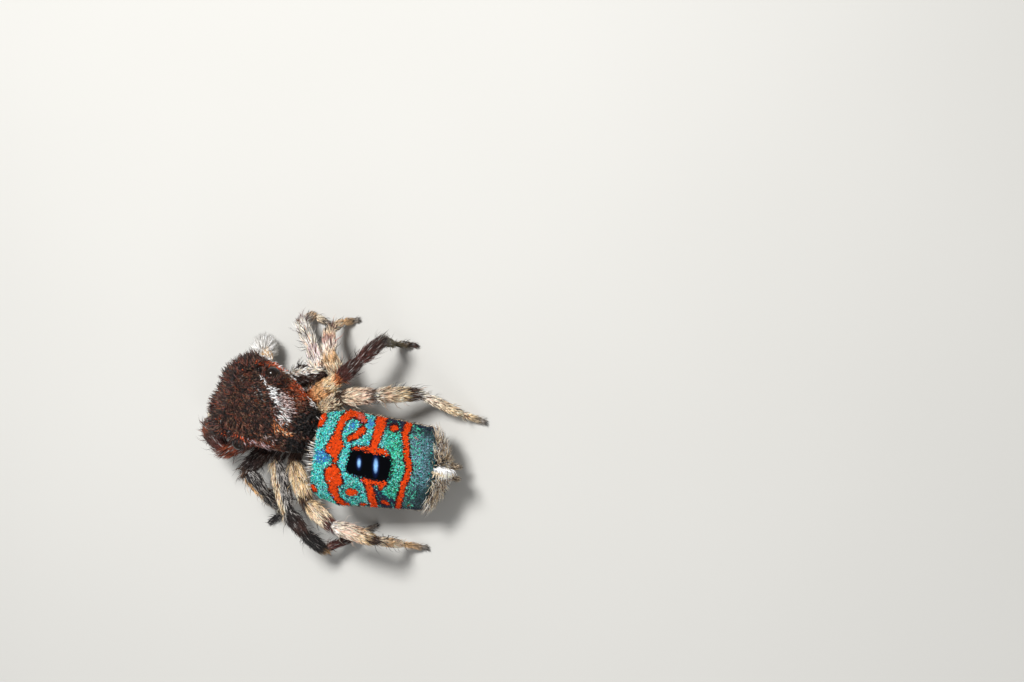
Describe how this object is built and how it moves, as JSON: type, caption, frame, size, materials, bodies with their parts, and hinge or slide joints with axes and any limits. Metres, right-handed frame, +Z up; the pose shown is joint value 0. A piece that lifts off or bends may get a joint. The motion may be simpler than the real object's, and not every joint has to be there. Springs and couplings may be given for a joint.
{
  "type": "peacock spider",
  "caption": "Standing male peacock spider: broad head with large front eyes, legs swept to the sides and back, and a flat patterned plate over its abdomen.",
  "frame": {"origin": "on the floor, below the middle of the box around the whole spider", "axes": "+Z up, -Y the way the abdomen's front points, -X the animal's own right side"},
  "size_m": [0.0042, 0.005, 0.0016],
  "materials": {
    "cuticle": "dark brown cuticle under fine scales",
    "eye": "polished black",
    "cream": "cuticle under pale hair",
    "maroon": "cuticle under dark hair",
    "plate": "iridescent scales",
    "grey": "soft skin under grey hair",
    "white": "white hair brush"
  },
  "bodies": {
    "root": {"abdomen": "grey", "abdomen_plate": "plate", "carapace": "cuticle", "chelicera_left": "cuticle", "chelicera_right": "cuticle", "eye_front_lateral_left": "eye", "eye_front_lateral_right": "eye", "eye_front_median_left": "eye", "eye_front_median_right": "eye", "eye_middle_small_left": "eye", "eye_middle_small_right": "eye", "eye_rear_left": "eye", "eye_rear_right": "eye", "leg_left_1_femur": "cream", "leg_left_1_foot": "cream", "leg_left_1_hip": "cuticle", "leg_left_1_shank": "maroon", "leg_left_2_femur": "cream", "leg_left_2_foot": "cream", "leg_left_2_hip": "cuticle", "leg_left_2_shank": "maroon", "leg_left_3_femur": "cream", "leg_left_3_foot": "cream", "leg_left_3_hip": "cuticle", "leg_left_3_shank": "maroon", "leg_left_4_femur": "cream", "leg_left_4_foot": "cream", "leg_left_4_hip": "cuticle", "leg_left_4_shank": "maroon", "leg_right_1_femur": "cream", "leg_right_1_foot": "cream", "leg_right_1_hip": "cuticle", "leg_right_1_shank": "maroon", "leg_right_2_femur": "cream", "leg_right_2_foot": "cream", "leg_right_2_hip": "cuticle", "leg_right_2_shank": "maroon", "leg_right_3_femur": "cream", "leg_right_3_foot": "cream", "leg_right_3_hip": "cuticle", "leg_right_3_shank": "maroon", "leg_right_4_femur": "cream", "leg_right_4_foot": "cream", "leg_right_4_hip": "cuticle", "leg_right_4_shank": "maroon", "mouthparts": "cuticle", "palp_arm_left": "cream", "palp_arm_right": "cream", "palp_tip_left": "white", "palp_tip_right": "white", "pedicel": "cuticle", "spinnerets": "grey", "sternum": "cuticle"}
  },
  "joints": []
}
